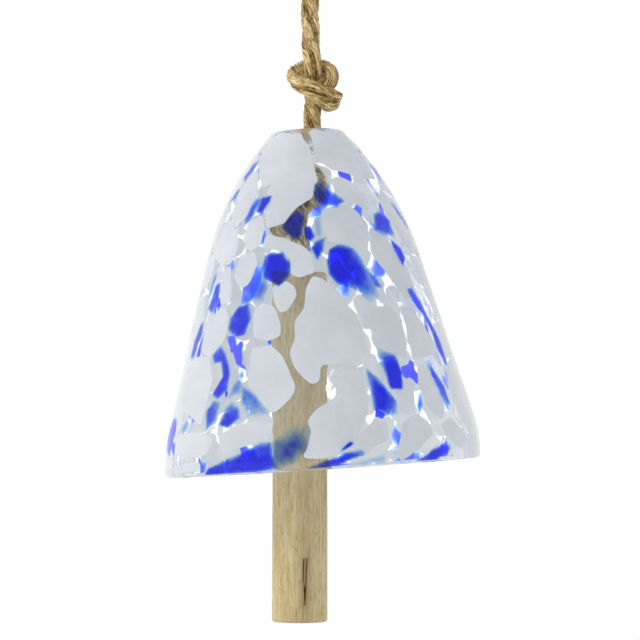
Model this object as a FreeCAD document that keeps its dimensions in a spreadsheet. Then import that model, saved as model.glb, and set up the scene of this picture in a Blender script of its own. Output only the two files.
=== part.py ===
import FreeCAD, Part
import Sketcher
import math
import os

# Hanging glass bell: a blown glass bell on a knotted jute rope, with a round wooden clapper.
# Frame: millimetres, +Z up, origin where the hook bears inside the hanging loop,
# +X to the right when the bell is seen from the front, +Y towards its back.

doc = FreeCAD.newDocument("hanging_glass_bell")

# ------------------------------------------------------------------ driving dimensions
dimensions = [
    # jute rope, from the hook down to the crown of the bell
    ("rope_dia", 7.0),           # laid jute rope
    ("eye_high", 42.0),          # open height of the loop under the hook
    ("loop_knot_wide", 30.0),    # outer shape of each knot
    ("loop_knot_high", 30.0),
    ("loop_knot_flat", 16.0),    # width of a knot's flat top and bottom
    ("loop_knot_gap", 2.0),      # knot to the first bend
    ("bend_spacing", 14.0),      # first bend, side to side, to the second, back and forth
    ("bend_play", 0.5),          # room round the round end of a rope at a bend
    ("second_bend_gap", 8.9),    # second bend to the upper knot
    ("upper_knot_wide", 21.0),
    ("upper_knot_high", 21.6),
    ("upper_knot_flat", 11.0),
    ("upper_knot_gap", 6.5),     # upper knot to the crown
    # glass bell
    ("bell_high", 128.0),
    ("mouth_dia", 120.0),
    ("wall_thick", 4.0),
    ("rim_straight", 3.4),       # upright band above the rim
    ("rim_bend", 6.8),           # run over which the flank turns into that band
    ("shoulder_dia", 82.0),      # where the rounded shoulder runs into the straight flank
    ("shoulder_drop", 49.0),
    ("crown_dia", 27.0),         # flat, sawn off top
    ("crown_thick", 10.0),
    ("bore_play", 5.0),          # drilled bore's width beyond the rope
    ("bore_rub", 0.3),           # gap left where the rope leans against the bore
    ("rim_round", 1.7),
    ("crown_round", 1.5),
    ("bore_round", 0.8),
    ("vault_round", 3.0),        # inside corner under the crown
    ("bell_lean", 2.8),          # degrees, right side up, as it settles on the uneven knot
    # inside the bell
    ("seat_gap", 1.0),           # the crown's underside to the inner knot
    ("inner_knot_wide", 22.0),
    ("inner_knot_high", 33.0),
    ("inner_knot_flat", 17.0),
    ("inner_knot_shift", 5.0),   # it sits this far to the left of the rope
    ("clapper_bend_gap", 6.0),   # inner knot to the bend that the clapper swings from
    ("dowel_gap", 4.0),          # that bend to the top of the dowel
    ("dowel_shift", 4.75),       # the dowel hangs this far to the left of the rope
    ("dowel_dia", 21.0),
    ("dowel_long", 132.0),
    ("dowel_edge", 0.5),
    ("cord_hole_deep", 22.0),
]

sheet = doc.addObject("Spreadsheet::Sheet", "dims")
for row, (alias, number) in enumerate(dimensions, start=1):
    sheet.set("A%d" % row, alias)
    sheet.set("B%d" % row, str(number))
    sheet.setAlias("B%d" % row, alias)
doc.recompute()
size = {alias: float(sheet.get(alias)) for alias, _ in dimensions}

# depths below the hook, each one step further down than the one before
steps = [
    ("loop_knot_top", "eye_high"),
    ("loop_knot_bottom", "loop_knot_high"),
    ("first_bend", "loop_knot_gap"),
    ("second_bend", "bend_spacing"),
    ("upper_knot_top", "second_bend_gap"),
    ("upper_knot_bottom", "upper_knot_high"),
    ("crown", "upper_knot_gap"),
    ("vault", "crown_thick"),
    ("inner_knot_top", "seat_gap"),
    ("inner_knot_bottom", "inner_knot_high"),
    ("clapper_bend", "clapper_bend_gap"),
    ("dowel_top", "dowel_gap"),
]
depth = {}
for place_name, step in steps:
    above = list(depth.values())[-1] + " + " if depth else ""
    depth[place_name] = above + "dims." + step


# ------------------------------------------------------------------ helpers
def place(feature, x="0", z="0"):
    """Bind a sub-part's position to the sheet."""
    feature.setExpression("Placement.Base.x", x)
    feature.setExpression("Placement.Base.z", z)


def below(level, more="0"):
    """Expression for the height of a level, less a further drop."""
    return "-(%s + %s)" % (depth[level], more)


def plane(body, role):
    """One of the body's own origin planes."""
    for feature in body.Origin.OriginFeatures:
        if feature.Role == role:
            return feature


def sketch_on(body, role, name):
    sketch = body.newObject("Sketcher::SketchObject", name)
    sketch.AttachmentSupport = (plane(body, role), "")
    sketch.MapMode = "FlatFace"
    return sketch


def bind(sketch, constraint, name, expression):
    """Add a named dimension to a sketch and drive it from the sheet."""
    index = sketch.addConstraint(constraint)
    sketch.renameConstraint(index, name)
    sketch.setExpression("Constraints." + name, expression)


def pin_point(sketch, edge, end, name, x, drop):
    """Hold a sketch point at a radius x and a depth below the sketch's origin.
    x and drop are pairs of a number and its expression; None leaves that direction free."""
    if x:
        bind(sketch, Sketcher.Constraint("DistanceX", -1, 1, edge, end, x[0]), name + "_x", x[1])
    if drop:
        bind(sketch, Sketcher.Constraint("DistanceY", edge, end, -1, 1, drop[0]), name + "_drop", drop[1])


def circle_edges(feature, radius, z, slack=0.05):
    """Names of the round edges of this radius at this height in the feature's own frame."""
    names = []
    for number, edge in enumerate(feature.Shape.Edges, start=1):
        curve = edge.Curve
        if isinstance(curve, Part.Circle) and abs(curve.Radius - radius) < slack:
            if abs(curve.Center.z - z) < slack:
                names.append("Edge%d" % number)
    return names


def dress(body, kind, name, base, edges, amount):
    """Fillet or chamfer the named edges of the feature base."""
    if not edges:
        raise RuntimeError(name + ": no edge found")
    feature = body.newObject("PartDesign::" + kind, name)
    feature.Base = (base, edges)
    feature.setExpression("Radius" if kind == "Fillet" else "Size", amount)
    doc.recompute()
    return feature


def cylinder(name, radius, height, x="0", z="0"):
    solid = doc.addObject("Part::Cylinder", name)
    solid.setExpression("Radius", radius)
    solid.setExpression("Height", height)
    place(solid, x, z)
    return solid


def ball(name, radius, z="0"):
    solid = doc.addObject("Part::Sphere", name)
    solid.setExpression("Radius", radius)
    place(solid, "0", z)
    return solid


def boolean(kind, name, base, tool):
    feature = doc.addObject("Part::" + kind, name)
    feature.Base = base
    feature.Tool = tool
    return feature


def rounded_rod(name, height):
    """Rope run standing on its origin, its top end a ball about the bend."""
    return boolean("Fuse", name, cylinder(name + "_run", rope_radius, height),
                   ball(name + "_end", rope_radius, height))


def add_part(feature, label):
    feature.Label = label
    parts.append(feature)


rope_radius = "dims.rope_dia / 2"
cup_radius = "dims.rope_dia / 2 + dims.bend_play"
bore_dia = "dims.rope_dia + dims.bore_play"
parts = []


# ------------------------------------------------------------------ glass bell
# Outline, turned about Z: flat crown, rounded shoulder, straight flank, short curve into an
# upright rim; the inside follows it at the wall's thickness under a thicker crown.
def bell_outline():
    """Worked-out points of the bell's section: arc centres and the ends of the inner wall."""
    crown = FreeCAD.Vector(size["crown_dia"] / 2, 0, 0)
    shoulder = FreeCAD.Vector(size["shoulder_dia"] / 2, -size["shoulder_drop"], 0)
    rim = FreeCAD.Vector(size["mouth_dia"] / 2, size["rim_straight"] - size["bell_high"], 0)
    corner = rim + FreeCAD.Vector(0, size["rim_bend"], 0)
    slope = math.atan2(corner.x - shoulder.x, shoulder.y - corner.y)
    inward = FreeCAD.Vector(-math.cos(slope), -math.sin(slope), 0)
    flank = corner - (corner - shoulder).normalize() * size["rim_bend"]
    chord = shoulder - crown
    shoulder_radius = -chord.dot(chord) / (2 * chord.dot(inward))
    shoulder_center = shoulder + inward * shoulder_radius
    rim_center = flank + inward * (size["rim_bend"] / math.tan(slope / 2))
    vault_rise = -size["crown_thick"] - shoulder_center.y
    vault_reach = math.sqrt((shoulder_radius - size["wall_thick"]) ** 2 - vault_rise ** 2)
    vault = FreeCAD.Vector(shoulder_center.x + vault_reach, -size["crown_thick"], 0)
    return crown, shoulder, flank, rim, shoulder_center, rim_center, vault, inward


def arc_between(center, start, end):
    """Anticlockwise arc about center from start to end."""
    radius = (start - center).Length
    circle = Part.Circle(center, FreeCAD.Vector(0, 0, 1), radius)
    first = math.atan2(start.y - center.y, start.x - center.x)
    last = math.atan2(end.y - center.y, end.x - center.x)
    return Part.ArcOfCircle(circle, first, last)


def build_bell():
    body = doc.addObject("PartDesign::Body", "bell_body")
    section = sketch_on(body, "XZ_Plane", "bell_section")
    crown, shoulder, flank, rim, shoulder_center, rim_center, vault, inward = bell_outline()
    inset = inward * size["wall_thick"]
    lip = FreeCAD.Vector(rim.x, -size["bell_high"], 0)
    lip_in = FreeCAD.Vector(rim.x - size["wall_thick"], lip.y, 0)
    rim_in = FreeCAD.Vector(lip_in.x, rim.y, 0)
    top = FreeCAD.Vector(0, 0, 0)
    vault_top = FreeCAD.Vector(0, vault.y, 0)
    # edges in order round the section; outer arcs run anticlockwise from their lower end
    section.addGeometry([
        Part.LineSegment(top, crown),
        arc_between(shoulder_center, shoulder, crown),
        Part.LineSegment(shoulder, flank),
        arc_between(rim_center, rim, flank),
        Part.LineSegment(rim, lip),
        Part.LineSegment(lip, lip_in),
        Part.LineSegment(lip_in, rim_in),
        arc_between(rim_center, rim_in, flank + inset),
        Part.LineSegment(flank + inset, shoulder + inset),
        arc_between(shoulder_center, shoulder + inset, vault),
        Part.LineSegment(vault, vault_top),
        Part.LineSegment(vault_top, top),
    ], False)
    start, end, middle = 1, 2, 3
    joins = [(0, end, 1, end), (4, end, 5, start), (5, end, 6, start), (9, end, 10, start),
             (10, end, 11, start), (11, end, 0, start)]
    for join in joins:
        section.addConstraint(Sketcher.Constraint("Coincident", *join))
    smooth = [(1, start, 2, start), (2, end, 3, end), (3, start, 4, start), (6, end, 7, start),
              (7, end, 8, start), (8, end, 9, start)]
    for join in smooth:
        section.addConstraint(Sketcher.Constraint("Tangent", *join))
    section.addConstraint(Sketcher.Constraint("Coincident", 1, middle, 9, middle))
    section.addConstraint(Sketcher.Constraint("Coincident", 3, middle, 7, middle))
    for edge in (0, 5, 10):
        section.addConstraint(Sketcher.Constraint("Horizontal", edge))
    for edge in (4, 6, 11):
        section.addConstraint(Sketcher.Constraint("Vertical", edge))
    section.addConstraint(Sketcher.Constraint("Coincident", 0, start, -1, 1))
    pin_point(section, 0, end, "crown", (crown.x, "dims.crown_dia / 2"), None)
    pin_point(section, 2, start, "shoulder", (shoulder.x, "dims.shoulder_dia / 2"),
              (size["shoulder_drop"], "dims.shoulder_drop"))
    pin_point(section, 4, start, "rim", None, (-rim.y, "dims.bell_high - dims.rim_straight"))
    corner_drop = "(dims.bell_high - dims.rim_straight - dims.rim_bend - dims.shoulder_drop)"
    slope = "atan((dims.mouth_dia - dims.shoulder_dia) / 2 / %s)" % corner_drop
    bind(section, Sketcher.Constraint("Radius", 3, (flank - rim_center).Length), "rim_turn",
         "dims.rim_bend / tan(%s / 2)" % slope)
    pin_point(section, 4, end, "lip", (lip.x, "dims.mouth_dia / 2"), (size["bell_high"], "dims.bell_high"))
    bind(section, Sketcher.Constraint("DistanceX", 5, end, 5, start, size["wall_thick"]),
         "wall", "dims.wall_thick")
    bind(section, Sketcher.Constraint("DistanceY", 11, start, 11, end, size["crown_thick"]),
         "crown_depth", "dims.crown_thick")
    doc.recompute()

    turned = body.newObject("PartDesign::Revolution", "blown_shape")
    turned.Profile = section
    turned.ReferenceAxis = (section, ["V_Axis"])
    turned.Angle = 360
    doc.recompute()

    bore_radius = (size["rope_dia"] + size["bore_play"]) / 2
    circle = sketch_on(body, "XY_Plane", "bore_circle")
    circle.addGeometry(Part.Circle(top, FreeCAD.Vector(0, 0, 1), bore_radius), False)
    circle.addConstraint(Sketcher.Constraint("Coincident", 0, middle, -1, 1))
    bind(circle, Sketcher.Constraint("Diameter", 0, 2 * bore_radius), "bore", bore_dia)
    bore = body.newObject("PartDesign::Pocket", "drilled_bore")
    bore.Profile = circle
    bore.Type = "ThroughAll"
    doc.recompute()

    last = dress(body, "Fillet", "bore_edges", bore, circle_edges(bore, bore_radius, 0)
                 + circle_edges(bore, bore_radius, vault.y), "dims.bore_round")
    last = dress(body, "Fillet", "crown_edge", last, circle_edges(last, crown.x, 0), "dims.crown_round")
    last = dress(body, "Fillet", "vault_corner", last, circle_edges(last, vault.x, vault.y),
                 "dims.vault_round")
    dress(body, "Fillet", "rim_edges", last, circle_edges(last, lip.x, lip.y)
          + circle_edges(last, lip_in.x, lip.y), "dims.rim_round")
    # leans about the middle of its crown, its right side up, with the rope against the bore
    body.Placement = FreeCAD.Placement(FreeCAD.Vector(0, 0, 0), FreeCAD.Rotation(FreeCAD.Vector(0, -1, 0), 0))
    body.setExpression("Placement.Rotation.Angle", "dims.bell_lean")
    place(body, "-(dims.bore_play / 2 - dims.bore_rub)", below("crown"))
    add_part(body, "glass_bell")
    expected = turned.Shape.Volume - math.pi * bore_radius ** 2 * size["crown_thick"]
    if abs(bore.Shape.Volume - expected) > 1:
        raise RuntimeError("the bore cut the wrong volume")


# ------------------------------------------------------------------ wooden clapper
def build_clapper():
    body = doc.addObject("PartDesign::Body", "clapper_body")
    outline = sketch_on(body, "XY_Plane", "dowel_circle")
    normal = FreeCAD.Vector(0, 0, 1)
    origin = FreeCAD.Vector(0, 0, 0)
    outline.addGeometry(Part.Circle(origin, normal, size["dowel_dia"] / 2), False)
    outline.addConstraint(Sketcher.Constraint("Coincident", 0, 3, -1, 1))
    bind(outline, Sketcher.Constraint("Diameter", 0, size["dowel_dia"]), "dowel", "dims.dowel_dia")
    rod = body.newObject("PartDesign::Pad", "dowel")
    rod.Profile = outline
    rod.setExpression("Length", "dims.dowel_long")
    rod.Reversed = True
    doc.recompute()
    edges = circle_edges(rod, size["dowel_dia"] / 2, 0)
    edges += circle_edges(rod, size["dowel_dia"] / 2, -size["dowel_long"])
    eased = dress(body, "Chamfer", "eased_ends", rod, edges, "dims.dowel_edge")
    circle = sketch_on(body, "XY_Plane", "cord_hole_circle")
    circle.addGeometry(Part.Circle(origin, normal, size["rope_dia"] / 2), False)
    circle.addConstraint(Sketcher.Constraint("Coincident", 0, 3, -1, 1))
    bind(circle, Sketcher.Constraint("Diameter", 0, size["rope_dia"]), "hole", "dims.rope_dia")
    hole = body.newObject("PartDesign::Pocket", "cord_hole")
    hole.Profile = circle
    hole.setExpression("Length", "dims.cord_hole_deep")
    doc.recompute()
    removed = eased.Shape.Volume - hole.Shape.Volume
    if abs(removed - math.pi * (size["rope_dia"] / 2) ** 2 * size["cord_hole_deep"]) > 1:
        raise RuntimeError("the cord hole cut the wrong volume")
    place(body, "-dims.dowel_shift", below("dowel_top"))
    add_part(body, "wooden_clapper")


# ------------------------------------------------------------------ knots
def build_knot(name, knot, x, z):
    """Outer shape of a knot: a round block, flat where the rope enters and leaves, rounded between."""
    radius = size[knot + "_wide"] / 2
    half = size[knot + "_high"] / 2
    body = doc.addObject("PartDesign::Body", name)
    outline = sketch_on(body, "XY_Plane", name + "_circle")
    outline.addGeometry(Part.Circle(FreeCAD.Vector(0, 0, 0), FreeCAD.Vector(0, 0, 1), radius), False)
    outline.addConstraint(Sketcher.Constraint("Coincident", 0, 3, -1, 1))
    bind(outline, Sketcher.Constraint("Diameter", 0, 2 * radius), "knot_width", "dims.%s_wide" % knot)
    block = body.newObject("PartDesign::Pad", name + "_pad")
    block.Profile = outline
    block.Midplane = True
    block.setExpression("Length", "dims.%s_high" % knot)
    doc.recompute()
    edges = circle_edges(block, radius, half) + circle_edges(block, radius, -half)
    dress(body, "Fillet", name + "_rounding", block, edges, "(dims.%s_wide - dims.%s_flat) / 2" % (knot, knot))
    place(body, x, z)
    doc.recompute()
    return body


# ------------------------------------------------------------------ rope
def rounded_route(points, label):
    """Straight runs joined by tangent arcs, each as large as its two runs allow."""
    points = [FreeCAD.Vector(*point) for point in points]
    share = 0.45
    edges = []
    radii = []
    begin = points[0]
    for before, corner, after in zip(points, points[1:], points[2:]):
        arrive = (corner - before).normalize()
        leave = (after - corner).normalize()
        shorter = min((corner - before).Length, (after - corner).Length)
        trim = share * shorter
        turn = arrive.getAngle(leave)
        radii.append(trim / math.tan(turn / 2))
        first = corner - arrive * trim
        last = corner + leave * trim
        to_center = (leave - arrive).normalize()
        half = to_center * (radii[-1] / math.cos(turn / 2) - radii[-1])
        edges.append(Part.LineSegment(begin, first).toShape())
        edges.append(Part.Arc(first, corner + half, last).toShape())
        begin = last
    edges.append(Part.LineSegment(begin, points[-1]).toShape())
    print(label, "bend radii", " ".join("%.1f" % radius for radius in radii))
    return Part.Wire(edges)


def build_loop():
    """Open eye of the rope, narrow under the bell's weight, its two legs going into the knot."""
    knot_top = -size["eye_high"]
    radius = size["rope_dia"] / 2
    route = [
        (-5.0, 0, knot_top),
        (-9.5, 0, -28.5),
        (-14.5, 0, -15.0),
        (-13.5, 0, -3.0),
        (-6.0, 0, radius),
        (6.5, 0, radius),
        (13.8, 0, -3.5),
        (14.0, 0, -16.0),
        (9.0, 0, -29.0),
        (5.0, 0, knot_top),
    ]
    path = rounded_route(route, "hanging_loop")
    begin = FreeCAD.Vector(*route[0])
    section = Part.Wire(Part.makeCircle(radius, begin, FreeCAD.Vector(*route[1]) - begin))
    tube = path.makePipeShell([section], True, True)
    # trim both legs level with the knot's flat top
    wide = size["mouth_dia"]
    under = Part.makeBox(wide, wide, wide, FreeCAD.Vector(-wide / 2, -wide / 2, knot_top - wide))
    tube = tube.cut(under)
    feature = doc.addObject("Part::Feature", "loop_tube")
    feature.Shape = tube
    feature.Placement = FreeCAD.Placement()
    ratio = tube.Volume / (math.pi * radius ** 2 * path.Length)
    print("hanging_loop length %.1f, volume against section times length %.3f" % (path.Length, ratio))
    return feature


def build_rope():
    add_part(build_loop(), "hanging_loop")

    # the loop's knot is hollowed below so that the rope can bend under it
    barrel = build_knot("loop_knot_block", "loop_knot", "0", below("loop_knot_top", "dims.loop_knot_high / 2"))
    cup = ball("loop_knot_cup", cup_radius, below("first_bend"))
    add_part(boolean("Cut", "loop_knot_hollowed", barrel, cup), "loop_knot")

    # short link between the two bends: round top, hollow bottom
    link = rounded_rod("upper_rope_rod", "dims.bend_spacing")
    upper = boolean("Cut", "upper_rope_hollowed", link, ball("upper_rope_cup", cup_radius))
    place(upper, "0", below("second_bend"))
    add_part(upper, "upper_rope")

    # from the second bend down into the upper knot
    main = rounded_rod("main_rope_rod", "dims.second_bend_gap")
    place(main, "0", below("upper_knot_top"))
    add_part(main, "main_rope")

    add_part(build_knot("upper_knot_block", "upper_knot", "0",
                        below("upper_knot_top", "dims.upper_knot_high / 2")), "upper_knot")

    # through the crown, from the upper knot to the inner knot
    neck_long = "dims.upper_knot_gap + dims.crown_thick + dims.seat_gap"
    add_part(cylinder("neck_rope_run", rope_radius, neck_long, "0", below("inner_knot_top")), "neck_rope")

    add_part(build_knot("inner_knot_block", "inner_knot", "-dims.inner_knot_shift",
                        below("inner_knot_top", "dims.inner_knot_high / 2")), "inner_knot")

    # link under the inner knot that turns with the clapper, hollow where the cord bends
    link = boolean("Cut", "clapper_link_hollowed", cylinder("clapper_link_run", rope_radius, "dims.clapper_bend_gap"),
                   ball("clapper_link_cup", cup_radius))
    place(link, "-dims.dowel_shift", below("clapper_bend"))
    add_part(link, "clapper_link")

    # cord end, glued into the dowel
    cord = rounded_rod("clapper_cord_rod", "dims.dowel_gap + dims.cord_hole_deep")
    place(cord, "-dims.dowel_shift", below("dowel_top", "dims.cord_hole_deep"))
    add_part(cord, "clapper_cord")


build_bell()
build_clapper()
build_rope()
doc.recompute()

# ------------------------------------------------------------------ checks and export
for feature in doc.Objects:
    if "Invalid" in feature.State or "Error" in feature.State:
        raise RuntimeError("%s failed: %s" % (feature.Name, feature.State))
for part in parts:
    if part.Shape.isNull() or not part.Shape.isValid() or len(part.Shape.Solids) != 1:
        raise RuntimeError(part.Label + " isn't one valid solid")

os.makedirs("parts", exist_ok=True)
for part in parts:
    part.Shape.exportStep(os.path.join("parts", part.Label + ".step"))
    box = part.Shape.BoundBox
    print("%-16s volume %9.1f  x %6.1f %6.1f  y %6.1f %6.1f  z %7.1f %7.1f" % (
        part.Label, part.Shape.Volume, box.XMin, box.XMax, box.YMin, box.YMax, box.ZMin, box.ZMax))
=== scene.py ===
import bmesh
import bpy
import math
import numpy as np
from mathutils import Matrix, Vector


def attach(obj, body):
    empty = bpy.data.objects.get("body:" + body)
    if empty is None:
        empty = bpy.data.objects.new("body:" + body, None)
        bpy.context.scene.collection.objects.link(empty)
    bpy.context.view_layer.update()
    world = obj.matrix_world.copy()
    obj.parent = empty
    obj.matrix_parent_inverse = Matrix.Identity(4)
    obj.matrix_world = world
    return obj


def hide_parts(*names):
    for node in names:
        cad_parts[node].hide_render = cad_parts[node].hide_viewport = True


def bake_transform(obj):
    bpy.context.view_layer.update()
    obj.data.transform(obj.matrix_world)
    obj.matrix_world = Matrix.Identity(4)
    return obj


# Blown glass bell on a knotted jute rope, with a wooden dowel for a clapper.
# Metres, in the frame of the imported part: the hook bears at the origin, +Z up, front towards -Y.

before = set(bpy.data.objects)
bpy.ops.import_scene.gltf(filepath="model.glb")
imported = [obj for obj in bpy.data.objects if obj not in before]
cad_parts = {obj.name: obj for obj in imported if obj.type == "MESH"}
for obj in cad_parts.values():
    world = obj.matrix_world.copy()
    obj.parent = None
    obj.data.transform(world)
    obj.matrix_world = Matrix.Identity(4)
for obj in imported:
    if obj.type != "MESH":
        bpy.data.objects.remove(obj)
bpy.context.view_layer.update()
scene = bpy.context.scene
mm = 0.001


# small helpers for node trees and meshes

def addNode(tree, kind, **settings):
    made = tree.nodes.new(kind)
    for name, value in settings.items():
        setattr(made, name, value)
    return made


def feed(tree, socket, value):
    # a socket is wired in, and a plain value is set on the input
    if isinstance(value, bpy.types.NodeSocket):
        tree.links.new(value, socket)
    else:
        socket.default_value = value


def fedNode(tree, kind, inputs, **settings):
    # inputs gives a socket or a plain value for each input, by its name or number
    made = addNode(tree, kind, **settings)
    for name, value in inputs.items():
        feed(tree, made.inputs[name], value)
    return made


def maths(tree, operation, *values):
    return fedNode(tree, "ShaderNodeMath", dict(enumerate(values)), operation=operation).outputs[0]


def remap(tree, value, low, high, outLow=0.0, outHigh=1.0, smooth=True):
    inputs = {"Value": value, "From Min": low, "From Max": high, "To Min": outLow, "To Max": outHigh}
    curve = "SMOOTHSTEP" if smooth else "LINEAR"
    return fedNode(tree, "ShaderNodeMapRange", inputs, interpolation_type=curve).outputs["Result"]


def blendColors(tree, share, first, second):
    return fedNode(tree, "ShaderNodeMix", {0: share, 6: first, 7: second}, data_type="RGBA").outputs[2]


def colorRamp(tree, value, stops):
    made = addNode(tree, "ShaderNodeValToRGB")
    ramp = made.color_ramp
    while len(ramp.elements) < len(stops):
        ramp.elements.new(0.5)
    for element, (place, color) in zip(ramp.elements, stops):
        element.position = place
        element.color = (*color, 1)
    feed(tree, made.inputs[0], value)
    return made.outputs["Color"]


def scaled(tree, vector, scale, location=(0, 0, 0)):
    inputs = dict(Vector=vector, Scale=scale, Location=location)
    return fedNode(tree, "ShaderNodeMapping", inputs).outputs["Vector"]


def noise(tree, vector, scale, detail=3.0, roughness=0.55, distortion=0.0):
    inputs = dict(Vector=vector, Scale=scale, Detail=detail, Roughness=roughness, Distortion=distortion)
    return fedNode(tree, "ShaderNodeTexNoise", inputs).outputs["Fac"]


def bump(tree, height, strength, distance):
    inputs = dict(Height=height, Strength=strength, Distance=distance)
    return fedNode(tree, "ShaderNodeBump", inputs).outputs["Normal"]


def newMaterial(name):
    made = bpy.data.materials.new(name)
    made.use_nodes = True
    made.node_tree.nodes.clear()
    return made, made.node_tree


def showShader(tree, shader):
    fedNode(tree, "ShaderNodeOutputMaterial", {"Surface": shader})


def principled(tree, **values):
    inputs = {name.replace("_", " "): value for name, value in values.items()}
    return fedNode(tree, "ShaderNodeBsdfPrincipled", inputs).outputs[0]


def mixShaders(tree, share, first, second):
    return fedNode(tree, "ShaderNodeMixShader", {0: share, 1: first, 2: second}).outputs[0]


def attribute(tree, name):
    return addNode(tree, "ShaderNodeAttribute", attribute_name=name).outputs["Fac"]


def objectPlace(tree):
    return addNode(tree, "ShaderNodeTexCoord").outputs["Object"]


def addObject(name, data):
    made = bpy.data.objects.new(name, data)
    scene.collection.objects.link(made)
    return made


def ringAngles(count, first=0.0):
    return np.linspace(first, first + 2 * np.pi, count, endpoint=False)[None]


def gridMesh(name, points, around=True, along=False, uv=None, fields=None, flip=False):
    # points is a grid of rows by columns; a row closes on itself with around, the columns with along
    rows, columns = points.shape[:2]
    i, j = np.meshgrid(np.arange(rows - (not along)), np.arange(columns - (not around)), indexing="ij")
    i, j = i.ravel(), j.ravel()
    nextI, nextJ = (i + 1) % rows, (j + 1) % columns
    faces = np.stack([i * columns + j, i * columns + nextJ, nextI * columns + nextJ, nextI * columns + j], 1)
    corner = np.stack([i, j, i, j + 1, i + 1, j + 1, i + 1, j], 1).reshape(-1, 4, 2)
    if flip:
        faces, corner = faces[:, ::-1], corner[:, ::-1]
    mesh = bpy.data.meshes.new(name)
    mesh.from_pydata(points.reshape(-1, 3), [], faces.tolist())
    if uv is not None:
        # uv gives a row's and a column's coordinate, one more of each than there are rows and columns
        layer = mesh.uv_layers.new(name="surface")
        flat = np.stack([uv[1][corner[..., 1]], uv[0][corner[..., 0]]], -1)
        layer.data.foreach_set("uv", flat.reshape(-1).astype(np.float32))
    for key, values in (fields or {}).items():
        data = mesh.attributes.new(key, "FLOAT", "POINT")
        data.data.foreach_set("value", np.ascontiguousarray(values, dtype=np.float32).ravel())
    mesh.polygons.foreach_set("use_smooth", np.ones(len(faces), bool))
    mesh.update()
    return addObject(name, mesh)


def joinMeshes(name, pieces):
    # the first piece takes in the others and the name
    bpy.ops.object.select_all(action="DESELECT")
    for piece in pieces:
        piece.select_set(True)
    bpy.context.view_layer.objects.active = pieces[0]
    bpy.ops.object.join()
    pieces[0].name = name
    return pieces[0]


def smoothSteps(value, low, high):
    t = np.clip((value - low) / (high - low), 0, 1)
    return t * t * (3 - 2 * t)


# camera, eye level near the rim of the bell

cameraSetup = {
    "lens": 148.0,
    "distance": 1.0,
    "eyeHeight": -0.2386,
    "aimAcross": 0.0029,
    "aimHeight": -0.1968,
}


def makeCamera(setup):
    data = bpy.data.cameras.new("studioCamera")
    data.lens = setup["lens"]
    data.sensor_width = 36.0
    data.clip_start = 0.01
    made = addObject("studioCamera", data)
    made.location = (setup["aimAcross"], -setup["distance"], setup["eyeHeight"])
    aim = Vector((setup["aimAcross"], 0, setup["aimHeight"]))
    made.rotation_euler = (aim - made.location).to_track_quat("-Z", "Y").to_euler()
    scene.camera = made


makeCamera(cameraSetup)
print("camera set")


# the one length of jute rope, from its cut tail through the eye, both knots and the crown

ropeSetup = {
    "diameter": 7.0 * mm,
    "lay": 46.0 * mm,       # run in which a strand goes once round
    "strandOverlap": 2.0,   # strand radius over its distance from the middle
    "yarnRelief": 0.26 * mm,
    "step": 0.42 * mm,
    "around": 66,
    "split": -81.0 * mm,    # height at which the rope is cut into its two pieces
    "hairs": 9.5,           # loose fibres per millimetre of rope
    "hairLength": (1.2 * mm, 4.6 * mm),
    "hairLift": 1.1 * mm,
    "hairThick": 0.075 * mm,
    "seed": 4,
}

# hanging eye, the same points as the part's own route, from the left leg to the right one
eyeRoute = [
    (-5.0, 0, -42.0), (-9.5, 0, -28.5), (-14.5, 0, -15.0), (-13.5, 0, -3.0),
    (-6.0, 0, 3.5), (6.5, 0, 3.5), (13.8, 0, -3.5), (14.0, 0, -16.0),
    (9.0, 0, -29.0), (5.0, 0, -42.0),
]

# overhand knot about its own middle, from its top down to its bottom
overhandRoute = [
    (-1.0, 0, 26), (-1.0, 0, 20), (0, -1, 16), (0, -4.0, 11),
    (-0.2, -2.8, 5.2), (0.2, 4.3, 3.6), (3.5, 9.0, 0.0), (8.5, 8.5, -4.2),
    (9.6, 2.0, -7.8), (7.6, -4.8, -8.3), (3, -7.0, -4.5), (-3, -6.2, -0.2),
    (-8.5, -4.0, 2.0), (-8.5, 1.5, 7.5), (-3, 5.5, 9.6), (3, 5.5, 10.0),
    (9, 0.5, 7.8), (9, -2.0, 1.8), (4.0, -0.2, -0.6), (0.3, 2.0, -3.0),
    (0, 1.8, -7), (0, 0.5, -12), (0, 0, -17), (0, 0, -24),
]

knotSetup = {
    "wraps": 2.5,                       # turns of the tail round the rope under the eye
    "wrapRadius": 7.0,
    "wrapTop": -47.5,
    "wrapPitch": 7.2,
    "upperScale": (0.76, 0.95, 0.80),   # width, depth and height of the overhand knot above the bell
    "upperMiddle": (0, 0, -107.7),
    "innerScale": (-0.84, -0.95, 1.22),
    "innerMiddle": (-5.0, 0, -152.5),
    # cut strand end in the upper knot
    "stub": [(4.5, -3.6, -109.6), (8.0, -4.0, -111.2), (10.6, -3.6, -112.4)],
    "stubThick": 4.0,
}


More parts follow.
